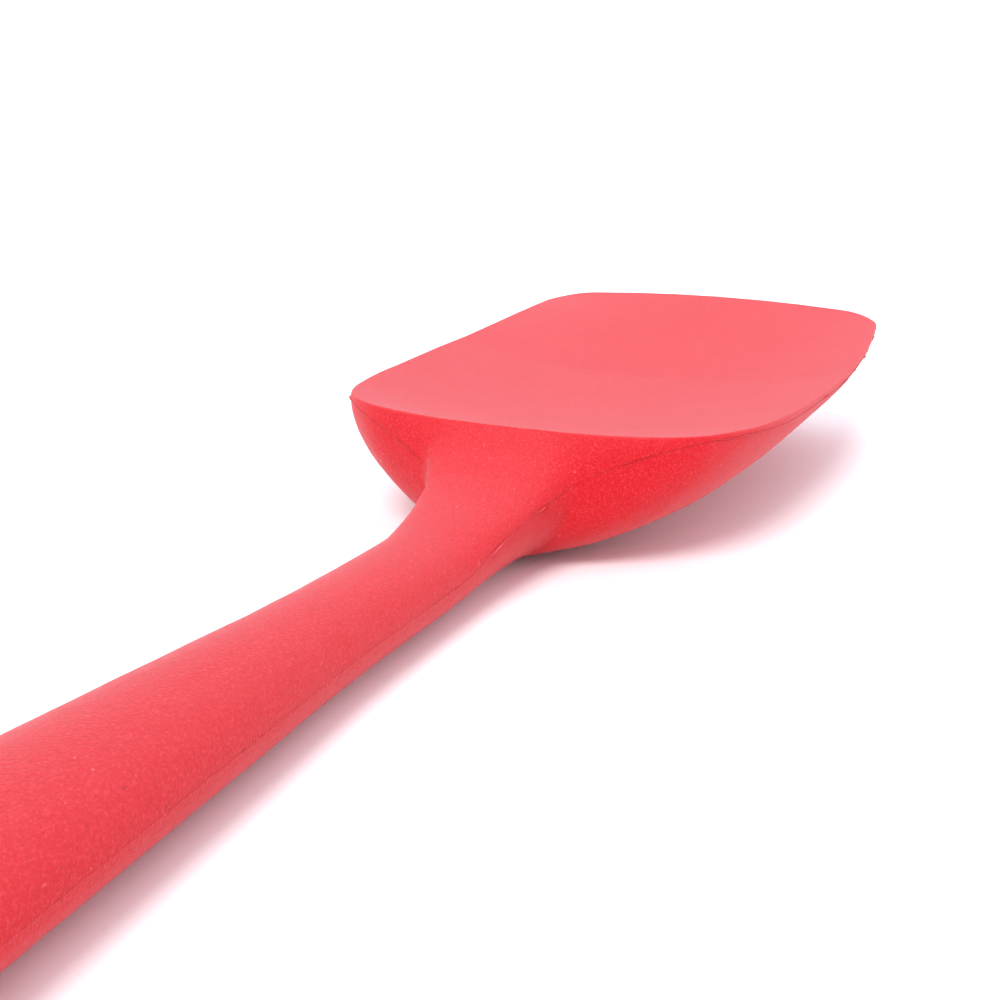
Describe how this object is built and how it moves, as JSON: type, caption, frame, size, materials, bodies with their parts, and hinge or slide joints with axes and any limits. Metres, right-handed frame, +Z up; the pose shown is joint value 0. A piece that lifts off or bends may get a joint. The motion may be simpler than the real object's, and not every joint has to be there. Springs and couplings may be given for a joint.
{
  "type": "silicone spatula",
  "caption": "One-piece soft silicone spoon spatula: shallow dished blade with a square round-cornered tip, thick boat-shaped belly, flared neck and a straight oval grip with a hanging hole.",
  "frame": {"origin": "centre of the footprint, on the table that the grip and the keel under the blade rest on", "axes": "+X from the grip to the blade's tip, +Y across the blade, +Z up from the table"},
  "size_m": [0.2799, 0.061, 0.0217],
  "materials": {
    "silicone_top": "matte moulded silicone, fine spark-eroded skin",
    "silicone_under": "matte moulded silicone, fine spark-eroded skin",
    "core": "glass-filled nylon, matte, hidden inside"
  },
  "bodies": {
    "root": {"silicone_upper": "silicone_top", "silicone_lower": "silicone_under", "core": "core"}
  },
  "joints": []
}
